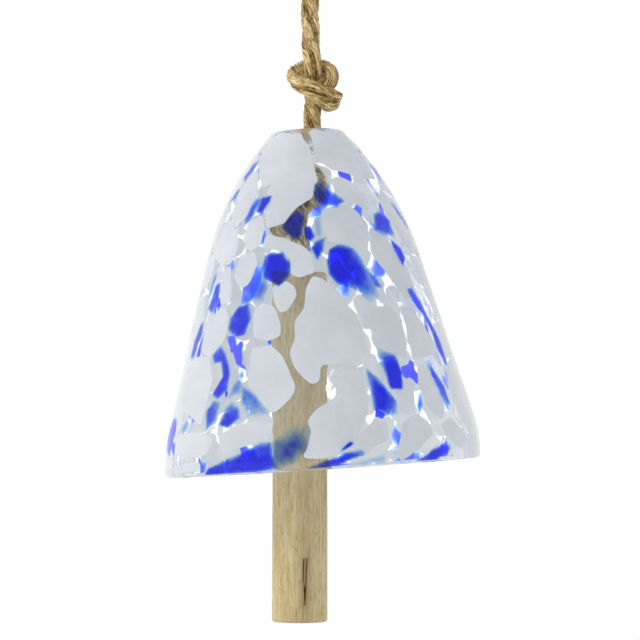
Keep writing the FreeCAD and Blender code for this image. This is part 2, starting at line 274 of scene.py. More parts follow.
def ropeRoute(setup):
    # given points in millimetres, in order from the cut tail to the bottom of the inner knot
    steps = int(setup["wraps"] * 12) + 1
    turn = np.linspace(-setup["wraps"], 0, steps)
    wraps = np.stack([
        setup["wrapRadius"] * np.cos(2 * np.pi * turn),
        setup["wrapRadius"] * np.sin(2 * np.pi * turn),
        setup["wrapTop"] + setup["wrapPitch"] * turn,
    ], 1)
    tail = [(-12.5, -7.0, -69.5), (-10.5, -4.5, -68.0), (-8.0, -2.5, -66.8)]
    over = np.array(overhandRoute, float)
    upper = over * setup["upperScale"] + setup["upperMiddle"]
    inner = over[2:-2] * setup["innerScale"] + setup["innerMiddle"]
    run = [(-2.2, 0, -47.0), (-0.4, 0, -52.0), (0, 0, -57.0)]
    lowerRun = [(-0.4, 0, -66.0), (-0.8, 0, -74.0), (-0.8, 0, -80.0)]
    neck = [(0, 0, -130.0)]
    end = [(-5.0, 0, -171.0), (-5.0, 0, -174.0)]
    return np.concatenate([tail, wraps, eyeRoute[::-1], run, lowerRun, upper, neck, inner, end])


def splinePoints(route, step):
    # evenly spaced points on a smooth spline that has the route as its control points
    curve = bpy.data.curves.new("ropeLine", "CURVE")
    curve.dimensions = "3D"
    spline = curve.splines.new("NURBS")
    spline.points.add(len(route) - 1)
    spline.points.foreach_set("co", np.append(route, np.ones((len(route), 1)), 1).ravel())
    spline.order_u = 3
    spline.use_endpoint_u = True
    spline.resolution_u = 24
    line = bpy.data.objects.new("ropeLine", curve)
    mesh = bpy.data.meshes.new_from_object(line)
    found = np.empty(len(mesh.vertices) * 3)
    mesh.vertices.foreach_get("co", found)
    found = found.reshape(-1, 3)
    bpy.data.objects.remove(line)
    bpy.data.meshes.remove(mesh)
    bpy.data.curves.remove(curve)
    length = np.append(0, np.cumsum(np.linalg.norm(np.diff(found, axis=0), axis=1)))
    even = np.linspace(0, length[-1], int(length[-1] / step))
    return np.stack([np.interp(even, length, found[:, k]) for k in range(3)], 1), even


def steadyFrames(points):
    # two directions across the line at each point that turn with it but never roll about it:
    # a fixed direction squared to the line, less the roll it gathers along the way
    tangent = np.gradient(points, axis=0)
    tangent /= np.linalg.norm(tangent, axis=1, keepdims=True)
    tries = np.random.default_rng(1).normal(size=(400, 3))
    tries /= np.linalg.norm(tries, axis=1, keepdims=True)
    fixed = tries[np.abs(tries @ tangent.T).max(1).argmin()]
    across = fixed - (tangent @ fixed)[:, None] * tangent
    across /= np.linalg.norm(across, axis=1, keepdims=True)
    side = np.cross(tangent, across)
    roll = np.cumsum((np.gradient(across, axis=0) * side).sum(1))
    roll = roll[:, None]
    return tangent, np.cos(roll) * across - np.sin(roll) * side, np.sin(roll) * across + np.cos(roll) * side


def laidSurface(points, length, setup, phase=0.0):
    # ring of three pressed strands, turned with the lay: each strand is a circle about its own middle,
    # with yarn ridges round it and a slow swelling along it
    rng = np.random.default_rng(setup["seed"])
    tangent, across, side = steadyFrames(points)
    angle = ringAngles(setup["around"])
    local = (angle + np.pi / 3) % (2 * np.pi / 3) - np.pi / 3
    strand = np.floor((angle + np.pi / 3) / (2 * np.pi / 3)) % 3
    middle = setup["diameter"] / 2 / (1 + setup["strandOverlap"])
    thick = middle * setup["strandOverlap"]
    radius = middle * np.cos(local) + np.sqrt(thick ** 2 - (middle * np.sin(local)) ** 2)
    ownAngle = np.arctan2(radius * np.sin(local), radius * np.cos(local) - middle)
    s = length[:, None]
    waves = rng.uniform(0, 2 * np.pi, (4, 3))
    swell = sum(np.sin(s / (2.6 * mm * (1 + 0.7 * k)) + waves[k][strand.astype(int)]) for k in range(4)) / 4
    yarn = np.abs(np.sin(4.5 * ownAngle + s / (4.4 * mm) + 1.3 * strand + 1.6 * swell))
    rough = np.sin(s / (0.9 * mm) + 5 * ownAngle + strand) * np.sin(s / (1.7 * mm) - 3 * ownAngle)
    radius = radius * (1 + 0.035 * swell) + setup["yarnRelief"] * (yarn - 0.6) + 0.03 * mm * rough
    lay = -2 * np.pi * s / setup["lay"] + phase
    lay = lay + 0.18 * np.sin(s / (11 * mm)) + 0.12 * np.sin(s / (6.1 * mm) + 2)
    out = (angle + lay)[..., None]
    outward = np.cos(out) * across[:, None] + np.sin(out) * side[:, None]
    surface = points[:, None] + radius[..., None] * outward
    # depth, how far out the surface stands, later becomes painted shade in the grooves and painted light on
    # the crests
    depth = radius / (setup["diameter"] / 2) + 0.06 * (yarn - 0.6)
    return surface, outward, tangent, depth


def looseHairs(name, surface, outward, tangent, setup, count, seed):
    # thin three-sided fibres: each leaves the rope almost along it and lifts away on a bow
    rng = np.random.default_rng(seed)
    row = rng.integers(4, len(surface) - 4, count)
    column = rng.integers(0, surface.shape[1], count)
    root = surface[row, column] - outward[row, column] * 0.15 * mm
    up = outward[row, column]
    way = tangent[row] * rng.choice([-1, 1], (count, 1))
    way = way + np.cross(tangent[row], up) * rng.normal(0, 0.7, (count, 1))
    way /= np.linalg.norm(way, axis=1, keepdims=True)
    reach = rng.uniform(*setup["hairLength"], (count, 1)) * rng.uniform(0.4, 1, (count, 1))
    lift = setup["hairLift"] * rng.uniform(0.15, 1, (count, 1))
    curl = rng.normal(0, 0.25, (count, 1))
    t = np.linspace(0, 1, 6)[None, :, None]
    side = np.cross(way, up)
    bow = np.sin(np.pi * t * rng.uniform(0.45, 0.95, (count, 1))[:, None])
    line = root[:, None] + way[:, None] * (reach[:, None] * t) + up[:, None] * lift[:, None] * bow
    line = line + side[:, None] * (curl * reach)[:, None] * t ** 2
    thick = setup["hairThick"] * (1 - 0.75 * t)
    turn = np.array([0, 2, 4]) * np.pi / 3
    ring = side[:, None, None] * np.cos(turn)[:, None] + up[:, None, None] * np.sin(turn)[:, None]
    tube = (line[:, :, None] + ring * thick[..., None]).reshape(-1, 3)
    base = (np.arange(count) * 18)[:, None, None, None] + (np.arange(5) * 3)[None, :, None, None]
    j = np.arange(3)[None, None, :, None]
    face = base + np.concatenate([j, (j + 1) % 3, (j + 1) % 3 + 3, j + 3], 3)
    mesh = bpy.data.meshes.new(name)
    mesh.from_pydata(tube, [], face.reshape(-1, 4).tolist())
    mesh.polygons.foreach_set("use_smooth", np.ones(count * 15, bool))
    layer = mesh.uv_layers.new(name="surface")
    layer.data.foreach_set("uv", np.tile([0.5, 0.5], count * 60).astype(np.float32))
    # the fibres take a value above any crest, so they get the full painted light of the crests
    data = mesh.attributes.new("crestShading", "FLOAT", "POINT")
    data.data.foreach_set("value", np.full(len(tube), 1.1, np.float32))
    return addObject(name, mesh)


def cutEnds(surface, points, tangent, first, last, depth):
    # extra rings that round off a cut end and close it in a point, with low values that paint shade on the
    # cut end
    share = np.array([0.93, 0.78, 0.5, 0.22, 0.0])
    out = np.array([0.25, 0.5, 0.62, 0.66, 0.66])[:, None] * mm

    def cap(end, sign):
        rings = points[end] + (surface[end] - points[end])[None] * share[:, None, None]
        return rings + (sign * out * tangent[end])[:, None]

    parts, depths = [surface], [depth]
    # painted shade: the end rings get lower values, so the cut end is drawn darker
    paintedEndShade = np.repeat(np.array([0.95, 0.8, 0.7, 0.65, 0.6])[:, None], surface.shape[1], 1)
    if first:
        parts.insert(0, cap(0, -1)[::-1])
        depths.insert(0, paintedEndShade[::-1])
    if last:
        parts.append(cap(-1, 1))
        depths.append(paintedEndShade)
    return np.concatenate(parts), np.concatenate(depths)


def layRope(route, setup, phase=0.0):
    # the line, lengths, surface, directions and depth of a rope laid along a route in millimetres
    points, length = splinePoints(np.array(route) * mm, setup["step"])
    return [points, length, *laidSurface(points, length, setup, phase)]


def makeRopePiece(name, laid, setup, first, last, seed):
    # first and last say which ends are cut ends
    points, length, surface, outward, tangent, depth = laid
    # the depth values carry the painted shade of the grooves and the painted light of the crests to the mesh
    full, crestShading = cutEnds(surface, points, tangent, first, last, depth)
    rows = np.linspace(length[0], length[-1], len(full) + 1) / (10 * mm)
    columns = np.linspace(0, 3, surface.shape[1] + 1)
    body = gridMesh(name, full, uv=(rows, columns), fields={"crestShading": crestShading})
    count = int((length[-1] - length[0]) / mm * setup["hairs"])
    hairs = looseHairs(name + "Hairs", surface, outward, tangent, setup, count, seed)
    return joinMeshes(name, [body, hairs])


def juteMaterial():
    # dry bast fibres running along each strand, darker in the grooves and gaps as painted shade, paler on the
    # crests as painted light
    made, tree = newMaterial("juteFibre")
    uv = addNode(tree, "ShaderNodeUVMap", uv_map="surface").outputs["UV"]
    place = objectPlace(tree)
    streaks = noise(tree, scaled(tree, uv, (4.6, 1.3, 1.0)), 2.2, 4.0, 0.6, 1.1)
    fine = noise(tree, scaled(tree, uv, (13.0, 2.6, 1.0)), 2.0, 3.0, 0.65, 0.8)
    # painted shade: dark spots where the gaps between fibres fall in shade
    gapShade = noise(tree, scaled(tree, uv, (6.5, 1.7, 1.0), (3.1, 7.7, 0)), 2.2, 2.0, 0.5, 1.4)
    patches = noise(tree, place, 170.0, 3.0, 0.6)
    # painted shade and light: the surface's depth, low in the grooves and high on the crests
    crestShading = attribute(tree, "crestShading")
    tone = maths(tree, "MULTIPLY_ADD", streaks, 0.95, maths(tree, "MULTIPLY", fine, 0.55))
    tone = maths(tree, "MULTIPLY_ADD", patches, 0.40, tone)
    # painted light on the crests, which leaves the grooves in painted shade
    paintedCrestLight = remap(tree, crestShading, 0.76, 1.02)
    tone = maths(tree, "MULTIPLY_ADD", paintedCrestLight, 0.26, maths(tree, "SUBTRACT", tone, 0.62))
    color = colorRamp(tree, tone, [
        (0.24, (0.060, 0.026, 0.003)),
        (0.38, (0.250, 0.148, 0.036)),
        (0.51, (0.560, 0.395, 0.150)),
        (0.64, (0.840, 0.650, 0.330)),
        (0.80, (1.000, 0.900, 0.610)),
    ])
    # the dark spots are blended in near black as painted shade
    color = blendColors(tree, remap(tree, gapShade, 0.46, 0.37, 0.0, 0.92), color, (0.060, 0.027, 0.004, 1))
    height = maths(tree, "ADD", maths(tree, "MULTIPLY", streaks, 0.6), maths(tree, "MULTIPLY", fine, 0.5))
    shader = principled(
        tree,
        Base_Color=color,
        Roughness=0.86,
        Specular_IOR_Level=0.22,
        Sheen_Weight=0.22,
        Sheen_Roughness=0.55,
        Sheen_Tint=(1.0, 0.88, 0.66, 1),
        Normal=bump(tree, height, 0.7, 0.35 * mm),
    )
    showShader(tree, shader)
    return made


def makeRope(setup, knots):
    laid = layRope(ropeRoute(knots), setup)
    points, length = laid[:2]
    # the cut is at the first point under the split, which is on the hanging run
    below = (points[:, 2] < setup["split"]) & (np.abs(points[:, 0]) < mm)
    cut = int(np.argmax(below))
    jute = juteMaterial()
    loop = makeRopePiece("loopRope", [part[:cut + 1] for part in laid], setup, True, False, 21)
    hang = makeRopePiece("hangingRope", [part[cut:] for part in laid], setup, False, True, 22)
    thin = dict(setup, diameter=knots["stubThick"] * mm)
    stub = makeRopePiece("strandEnd", layRope(knots["stub"], thin, 0.6), thin, True, True, 24)
    for piece in (loop, hang, stub):
        piece.data.materials.clear()
        piece.data.materials.append(jute)
    return loop, hang, stub, points[:cut + 1], points[cut:], length[cut], length[-1] - length[cut]


loopRope, hangingRope, strandEnd, loopLine, hangLine, loopLong, hangLong = makeRope(ropeSetup, knotSetup)
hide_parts("hanging_loop", "loop_knot")
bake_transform(loopRope)
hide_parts("upper_rope", "main_rope", "upper_knot", "neck_rope", "inner_knot")
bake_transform(hangingRope)
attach(strandEnd, "rope")
print("rope laid, %.0f and %.0f mm" % (loopLong / mm, hangLong / mm))


# cord end between the inner knot and the dowel

cordSetup = {
    "top": (-4.9, 0, -166.5),
    "bottom": (-4.75, 0, -199.0),
    "blendTop": (-4.75, 0, -171.5),
    "blendBottom": (-4.75, 0, -178.5),
}


def makeClapperCord(setup, rope):
    top, bottom = np.array(setup["top"], float), np.array(setup["bottom"], float)
    route = [top, top * 0.66 + bottom * 0.34, top * 0.33 + bottom * 0.67, bottom]
    made = makeRopePiece("clapperCord", layRope(route, rope, 1.1), rope, True, True, 23)
    made.data.materials.clear()
    made.data.materials.append(bpy.data.materials["juteFibre"])
    return made


clapperCord = makeClapperCord(cordSetup, ropeSetup)
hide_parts("clapper_link", "clapper_cord")
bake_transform(clapperCord)
print("clapper cord made")


# wooden dowel with sawn ends and a drying crack

dowelSetup = {
    "across": -4.75 * mm,
    "top": -179.0 * mm,
    "long": 132.0 * mm,
    "radius": 10.5 * mm,
    "edge": 0.7 * mm,
    "hole": 3.6 * mm,
    "holeDeep": 21.0 * mm,
    "crackSide": -78.5,         # degrees round the dowel, with the front at -90
    "crackTop": -286.5 * mm,
    "crackBottom": -305.0 * mm,
    "crackWide": 0.88 * mm,
    "crackDeep": 1.3 * mm,
    "rows": 330,
    "around": 260,
}


def makeDowel(setup):
    # profile from the bottom of the cord hole up over the sawn top, down the side and across the sawn end,
    # turned about the dowel's axis, slightly out of round, with the crack pressed in
    r, edge, hole, rows = setup["radius"], setup["edge"], setup["hole"], setup["rows"]
    top, bottom = setup["top"], setup["top"] - setup["long"]
    side = np.linspace(top - edge, bottom + edge, rows)
    profile = np.concatenate([
        [(0, top - setup["holeDeep"]), (hole, top - setup["holeDeep"])],
        [(hole, top - 0.3 * mm), (hole + 0.3 * mm, top)],
        np.stack([np.linspace(hole + 1.2 * mm, r - edge, 10), np.full(10, top)], 1),
        [(r - 0.3 * edge, top - 0.3 * edge)],
        np.stack([np.full(rows, r), side], 1),
        [(r - 0.3 * edge, bottom + 0.3 * edge)],
        np.stack([np.linspace(r - edge, 0.5 * mm, 16), np.full(16, bottom)], 1),
        [(0, bottom)],
    ])
    angle = ringAngles(setup["around"])
    radius, height = profile[:, :1], profile[:, 1:]
    worn = 0.06 * mm * np.sin(2 * angle + 30 * height) + 0.04 * mm * np.sin(5 * angle - 55 * height)
    outside = smoothSteps(radius, 0.8 * r, r)
    center = math.radians(setup["crackSide"])
    middle = (setup["crackTop"] + setup["crackBottom"]) / 2
    half = (setup["crackTop"] - setup["crackBottom"]) / 2
    along = (height - middle) / half
    wander = 0.10 * mm * np.sin(height / (2.3 * mm)) + 0.12 * mm * along
    away = np.angle(np.exp(1j * (angle - center))) * r - wander
    opened = np.clip((along + 1) / 1.5, 0, 1) ** 0.8 * smoothSteps(-along, -1, -0.96)
    wide = setup["crackWide"] * opened + 1e-6
    gap = np.where(np.abs(along) < 1, np.abs(away) / wide, 9.0)
    closing = smoothSteps(-wide, -0.75 * mm, -0.4 * mm)
    sides = np.exp(-((gap - 0.70) / 0.30) ** 2)
    # the crack presses the surface in, and the same field paints the crack's inside near black as painted
    # shade
    crackAndShade = np.maximum(sides, closing * np.clip(1.5 - gap, 0, 1))
    fading = np.clip(np.abs(along) - 0.8, 0, None) / 0.28
    stain = np.exp(-(away / (1.7 * mm)) ** 2) * np.exp(-fading ** 2)
    stain = np.maximum(stain, np.clip(1.3 - gap, 0, 1))
    # painted shade: a darker stripe down the whole dowel on the crack's side, right of the front
    paintedStripeShade = np.exp(-(away / (3.4 * mm)) ** 2)
    grown = radius + outside * (worn - setup["crackDeep"] * 0.6 * np.clip(crackAndShade, 0, 1))
    points = np.stack([
        setup["across"] + grown * np.cos(angle),
        grown * np.sin(angle),
        np.broadcast_to(height, grown.shape),
    ], -1)
    fields = {"crackAndShade": crackAndShade * outside, "stain": stain * outside, "paintedStripeShade": paintedStripeShade * outside}
    made = gridMesh("dowelWood", points, fields=fields, flip=True)
    closePoles(made)
    return made


def closePoles(made):
    work = bmesh.new()
    work.from_mesh(made.data)
    bmesh.ops.remove_doubles(work, verts=work.verts, dist=1e-7)
    work.to_mesh(made.data)
    work.free()


def woodMaterial(setup):
    # rings about a pith off to one side, drawn out along the dowel, with short dark pores
    made, tree = newMaterial("dowelWood")
    place = objectPlace(tree)
    centered = scaled(tree, place, (1, 1, 1), (-setup["across"] + 0.021, 0.030, 0.0))
    bent = fedNode(tree, "ShaderNodeVectorMath", {0: centered, 1: (1, 1, 0.035)}, operation="MULTIPLY")
    warp = noise(tree, scaled(tree, centered, (60, 60, 7)), 1.0, 2.0, 0.5)
    away = fedNode(tree, "ShaderNodeVectorMath", {0: bent.outputs[0]}, operation="LENGTH")
    rings = maths(tree, "MULTIPLY", away.outputs["Value"], 620.0)
    rings = maths(tree, "ADD", rings, maths(tree, "MULTIPLY", warp, 2.4))
    rings = maths(tree, "FRACT", rings)
    late = remap(tree, rings, 0.25, 0.92)
    late = maths(tree, "MULTIPLY", late, remap(tree, rings, 1.0, 0.93))
    grain = noise(tree, scaled(tree, centered, (1300, 1300, 120)), 1.0, 4.0, 0.62, 0.3)
    pores = noise(tree, scaled(tree, centered, (1900, 1900, 330)), 1.0, 2.0, 0.5)
    pores = remap(tree, pores, 0.56, 0.70)
    patch = noise(tree, scaled(tree, centered, (90, 90, 22)), 1.0, 3.0, 0.5)
    tone = maths(tree, "MULTIPLY_ADD", grain, 0.75, maths(tree, "MULTIPLY", patch, 0.5))
    tone = maths(tree, "SUBTRACT", tone, maths(tree, "MULTIPLY", late, 0.05))
    color = colorRamp(tree, tone, [
        (0.26, (0.350, 0.235, 0.090)),
        (0.48, (0.520, 0.400, 0.190)),
        (0.64, (0.640, 0.520, 0.285)),
        (0.86, (0.770, 0.660, 0.420)),
    ])
    color = blendColors(tree, maths(tree, "MULTIPLY", pores, 0.45), color, (0.24, 0.140, 0.060, 1))
    # painted shade down the dowel, right of its front
    paintedStripeShade = maths(tree, "MULTIPLY", attribute(tree, "paintedStripeShade"), 0.34)
    color = blendColors(tree, paintedStripeShade, color, (0.36, 0.235, 0.095, 1))
    stain = maths(tree, "MULTIPLY", attribute(tree, "stain"), 0.62)
    color = blendColors(tree, stain, color, (0.26, 0.125, 0.040, 1))
    # painted shade: the inside of the crack drawn near black
    crackAndShade = remap(tree, attribute(tree, "crackAndShade"), 0.45, 0.95)
    color = blendColors(tree, crackAndShade, color, (0.022, 0.010, 0.004, 1))
    height = maths(tree, "SUBTRACT", grain, maths(tree, "MULTIPLY", pores, 0.8))
    shader = principled(
        tree,
        Base_Color=color,
        Roughness=remap(tree, grain, 0.3, 0.7, 0.74, 0.60),
        Specular_IOR_Level=0.3,
        Normal=bump(tree, height, 0.35, 0.15 * mm),
    )
    showShader(tree, shader)
    return made


dowel = makeDowel(dowelSetup)
dowel.name = "woodenClapper"
dowel.data.materials.append(woodMaterial(dowelSetup))
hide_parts("wooden_clapper")
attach(dowel, "clapper")
print("dowel turned")


# blown bell: a clear wall with a layer of opal white and cobalt chips under its skin

bellSetup = {
    "crown": (-2.2, 0, -125.0),     # middle of the sawn crown, about which the bell leans
    "lean": 2.8,                    # degrees, right side up
    "high": 128.0,
    "mouth": 60.0,                  # radius
    "wall": 4.0,
    "rimStraight": 3.4,
    "rimBend": 6.8,
    "shoulder": 41.0,
    "shoulderDrop": 49.0,
    "crownRadius": 13.5,
    "crownThick": 10.0,
    "bore": 6.0,
    "rimRound": 1.7,
    "crownRound": 1.0,
    "boreRound": 0.8,
    "vaultRound": 3.0,
    "rimSlant": 1.0,                # degrees by which the rim was cut askew, left side lower
    "waver": 0.22,                  # hand-blown unevenness of the wall
    "aroundWall": 300,
    "slopeLength": 1.05,            # length of the wall's slope over the height that it drops
    "clearLip": 0.9,                # height above the rim at which the colours end
}


def outlineParts(shape, depth):
    # outline moved inwards by depth: arc over the shoulder, straight flank, arc above the rim, upright rim
    crown = np.array([shape["crownRadius"], 0.0])
    shoulder = np.array([shape["shoulder"], -shape["shoulderDrop"]])
    rim = np.array([shape["mouth"], shape["rimStraight"] - shape["high"]])
    corner = rim + (0, shape["rimBend"])
    slope = math.atan2(corner[0] - shoulder[0], shoulder[1] - corner[1])
    inward = np.array([-math.cos(slope), -math.sin(slope)])
    flank = corner - (corner - shoulder) / np.linalg.norm(corner - shoulder) * shape["rimBend"]
    chord = shoulder - crown
    bigRadius = -(chord @ chord) / (2 * chord @ inward)
    bigCenter = shoulder + inward * bigRadius
    rimRadius = shape["rimBend"] / math.tan(slope / 2)
    rimCenter = flank + inward * rimRadius

    def arc(center, radius, start, end, count):
        first = math.atan2(*(start - center)[::-1])
        last = math.atan2(*(end - center)[::-1])
        turn = np.linspace(first, last, count)
        return center + (radius - depth) * np.stack([np.cos(turn), np.sin(turn)], 1)

    over = arc(bigCenter, bigRadius, crown, shoulder, 90)
    under = arc(rimCenter, rimRadius, flank, rim, 16)
    foot = np.array([[shape["mouth"] - depth, -shape["high"]]])
    return np.concatenate([over, under, foot])


def evenly(line, count):
    run = np.append(0, np.cumsum(np.linalg.norm(np.diff(line, axis=0), axis=1)))
    even = np.linspace(0, run[-1], count)
    return np.stack([np.interp(even, run, line[:, k]) for k in range(2)], 1)


def roundCorner(before, corner, after, radius, count=7):
    # short curve in place of a corner, its ends a radius away from it
    before, corner, after = (np.array(p, float) for p in (before, corner, after))
    start = corner + (before - corner) / np.linalg.norm(before - corner) * radius
    end = corner + (after - corner) / np.linalg.norm(after - corner) * radius
    t = np.linspace(0, 1, count)[:, None]
    return (1 - t) ** 2 * start + 2 * t * (1 - t) * corner + t ** 2 * end


def waver(shape, angle, drop):
    # slow unevenness of the blown wall, fading out towards the crown
    w = np.sin(2 * angle + 0.03 * drop) + 0.6 * np.sin(3 * angle - 0.05 * drop + 1.2)
    w = w + 0.5 * np.sin(5 * angle + 0.09 * drop + 2.5) + 0.35 * np.sin(0.16 * drop + 2 * angle)
    return shape["waver"] * 0.5 * w * smoothSteps(drop, 6, 30)


def leanBell(shape, radius, height, angle):
    # places the bell's own radius and height at the crown and leans them
    lean = math.radians(shape["lean"])
    x, y, z = np.broadcast_arrays(radius * np.sin(angle), -radius * np.cos(angle), height)
    z = z + x * math.tan(math.radians(shape["rimSlant"])) * smoothSteps(-height, 20, shape["high"])
    placed = np.stack([
        x * math.cos(lean) - z * math.sin(lean),
        y,
        x * math.sin(lean) + z * math.cos(lean),
    ], -1)
    return (placed + shape["crown"]) * mm


def bellSurface(shape, line, around):
    # the outline turned about the bell's axis
    radius, height = line[:, :1], line[:, 1:]
    return leanBell(shape, radius + waver(shape, around, -height), height, around)


def makeWall(shape):
    outer = outlineParts(shape, 0)
    inner = outlineParts(shape, shape["wall"])
    inner = inner[inner[:, 1] < -shape["crownThick"]]
    vault = np.array([np.interp(shape["crownThick"], -inner[:, 1], inner[:, 0]), -shape["crownThick"]])
    mouth, high, wall = shape["mouth"], shape["high"], shape["wall"]
    outer = outer[np.linalg.norm(outer - outer[0], axis=1) > shape["crownRound"]]
    outer = outer[outer[:, 1] > -high + shape["rimRound"]]
    inner = inner[np.linalg.norm(inner - vault, axis=1) > shape["vaultRound"]]
    inner = inner[inner[:, 1] > -high + shape["rimRound"]]
    crownEdge = (shape["crownRadius"], 0)
    boreTop, boreFoot = (shape["bore"], 0), (shape["bore"], vault[1])
    loop = np.concatenate([
        roundCorner((0, 0), crownEdge, outer[0], shape["crownRound"]),
        evenly(outer, 150),
        roundCorner(outer[-1], (mouth, -high), (mouth - wall, -high), shape["rimRound"]),
        roundCorner((mouth, -high), (mouth - wall, -high), inner[-1], shape["rimRound"]),
        evenly(inner[::-1], 110),
        roundCorner(inner[0], vault, (0, vault[1]), shape["vaultRound"]),
        roundCorner((mouth, vault[1]), boreFoot, boreTop, shape["boreRound"]),
        roundCorner(boreFoot, boreTop, (mouth, 0), shape["boreRound"]),
    ])
    angle = ringAngles(shape["aroundWall"])
    points = bellSurface(shape, loop, angle)
    radius, height = loop[:, :1], loop[:, 1:]
    # the bore and the sawn crown are ground, so they are rough
    drilled = (radius < shape["bore"] + 1) | ((height > -0.5) & (radius < shape["crownRadius"] - 0.6))
    ground = np.broadcast_to(drilled.astype(float), points.shape[:2])
    return gridMesh("glassWall", points, along=True, fields={"ground": ground}, flip=True)


def clearGlass():
    made, tree = newMaterial("clearGlass")
    place = objectPlace(tree)
    ripples = noise(tree, place, 75.0, 2.0, 0.45)
    cords = noise(tree, scaled(tree, place, (60, 60, 20)), 1.0, 1.0, 0.5)
    height = maths(tree, "ADD", ripples, maths(tree, "MULTIPLY", cords, 0.7))
    glass = principled(
        tree,
        Base_Color=(0.975, 0.985, 0.985, 1),
        Roughness=maths(tree, "MULTIPLY_ADD", attribute(tree, "ground"), 0.55, 0.015),
        IOR=1.5,
        Transmission_Weight=1.0,
        Normal=bump(tree, height, 0.35, 1.2 * mm),
    )
    # light on its way to what is cased in the glass passes straight through
    path = addNode(tree, "ShaderNodeLightPath")
    through = maths(tree, "MAXIMUM", path.outputs["Is Shadow Ray"], path.outputs["Is Diffuse Ray"])
    clear = fedNode(tree, "ShaderNodeBsdfTransparent", {"Color": (0.95, 0.965, 0.965, 1)})
    showShader(tree, mixShaders(tree, through, glass, clear.outputs[0]))
    return made


glassWall = makeWall(bellSetup)
glassWall.data.materials.append(clearGlass())
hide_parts("glass_bell")
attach(glassWall, "bell")
print("glass wall blown")


# chips in the glass, each a few corners that melt round:
# degrees round from the front, millimetres below the crown

opalChips = [
    [(-85, 1), (-6, 1), (-2, 4), (2, 9), (4, 14), (7, 21), (2, 28), (-9, 31), (-15, 37), (-27, 39), (-30, 33),
     (-28, 26), (-38, 21), (-50, 14), (-70, 8)],
    [(1, 1), (3, 4), (5, 9), (12, 13), (20, 17), (38, 20), (60, 21), (85, 16), (85, 1)],
    [(15, 20), (25, 20), (36, 23), (41, 28), (38, 33), (30, 31), (24, 29), (18, 25)],
    [(7, 33), (18, 31), (28, 33), (34, 38), (32, 44), (29, 49), (20, 46), (10, 45), (7, 40)],
    [(34, 43), (42, 42), (48, 46), (56, 55), (58, 66), (48, 67), (41, 60), (35, 54), (31, 48)],
    [(60, 24), (75, 30), (80, 45), (78, 58), (68, 56), (58, 44), (52, 36), (50, 28)],
    [(0, 57), (4, 58), (10, 63), (18, 72), (21, 80), (21, 88), (17, 91), (1, 90), (0, 96), (-3, 97), (-6, 94),
     (-9, 90), (-12, 85), (-10, 80), (-10, 74), (-6, 69), (-4, 62)],
    [(-22, 60), (-14, 58), (-9, 61), (-8, 64), (-12, 70), (-16, 71), (-19, 67)],
    [(-27, 41), (-18, 42), (-11, 44), (-4, 46), (0, 49), (1, 56), (-6, 58), (-12, 56), (-12, 50), (-17, 47),
     (-27, 46)],
    [(-40, 35), (-31, 33), (-28, 39), (-29, 45), (-36, 46), (-41, 42)],
    [(-42, 47), (-32, 47), (-29, 51), (-33, 59), (-38, 60), (-43, 56)],
    [(-62, 20), (-50, 15), (-41, 22), (-37, 25), (-44, 33), (-52, 37), (-60, 31)],
    [(-72, 34), (-60, 33), (-47, 38), (-44, 45), (-48, 50), (-58, 50), (-72, 44)],
    [(-52, 52), (-46, 51), (-44, 58), (-44, 64), (-50, 66), (-52, 60)],
    [(-60, 70), (-48, 66), (-44, 69), (-43, 77), (-51, 85), (-60, 82)],
    [(-80, 64), (-70, 66), (-70, 80), (-80, 82)],
    [(-78, 86), (-62, 84), (-52, 85), (-48, 92), (-49, 101), (-50, 110), (-60, 105), (-76, 100)],
    [(-66, 112), (-50, 112), (-42, 114), (-45, 120), (-60, 121), (-68, 118)],
    [(-40, 113), (-33, 110), (-20, 109), (-17, 111), (-18, 116), (-27, 118), (-38, 121)],
    [(-80, 123), (-60, 123), (-48, 122), (-49, 126), (-80, 127)],
    [(-29, 82), (-20, 82), (-15, 86), (-11, 92), (-9, 97), (-10, 101), (-17, 107), (-21, 105), (-29, 96)],
    [(-30, 69), (-25, 66), (-19, 68), (-16, 74), (-16, 79), (-22, 80), (-29, 78)],
    [(6, 102), (7, 95), (13, 92), (18, 93), (19, 102), (17, 109), (12, 117), (6, 122), (0, 124), (-8, 124),
     (-5, 118), (-5, 110), (0, 105)],
    [(11, 120), (17, 113), (20, 110), (24, 113), (24, 119), (19, 121), (13, 124)],
    [(27, 122), (31, 113), (38, 110), (42, 113), (44, 118), (38, 122), (28, 127)],
    [(30, 101), (34, 95), (39, 99), (38, 105), (35, 111), (30, 109)],
    [(23, 72), (27, 69), (37, 70), (41, 76), (41, 84), (38, 90), (32, 88), (27, 84), (24, 78)],
    [(43, 70), (50, 70), (56, 78), (60, 88), (52, 89), (43, 89), (43, 80)],
    [(44, 92), (49, 92), (52, 98), (54, 108), (50, 113), (43, 108), (42, 100)],
    [(70, 90), (76, 92), (80, 105), (78, 120), (66, 118), (62, 106), (62, 98)],
    [(48, 115), (56, 112), (66, 120), (60, 124), (52, 120)],
    [(66, 60), (76, 62), (82, 80), (74, 78)],
]

# small clear openings inside the white
clearOpenings = [
    [(-36, 22), (-30, 21), (-29, 22), (-35, 24)],
    [(-25, 25), (-22, 25), (-23, 26)],
]

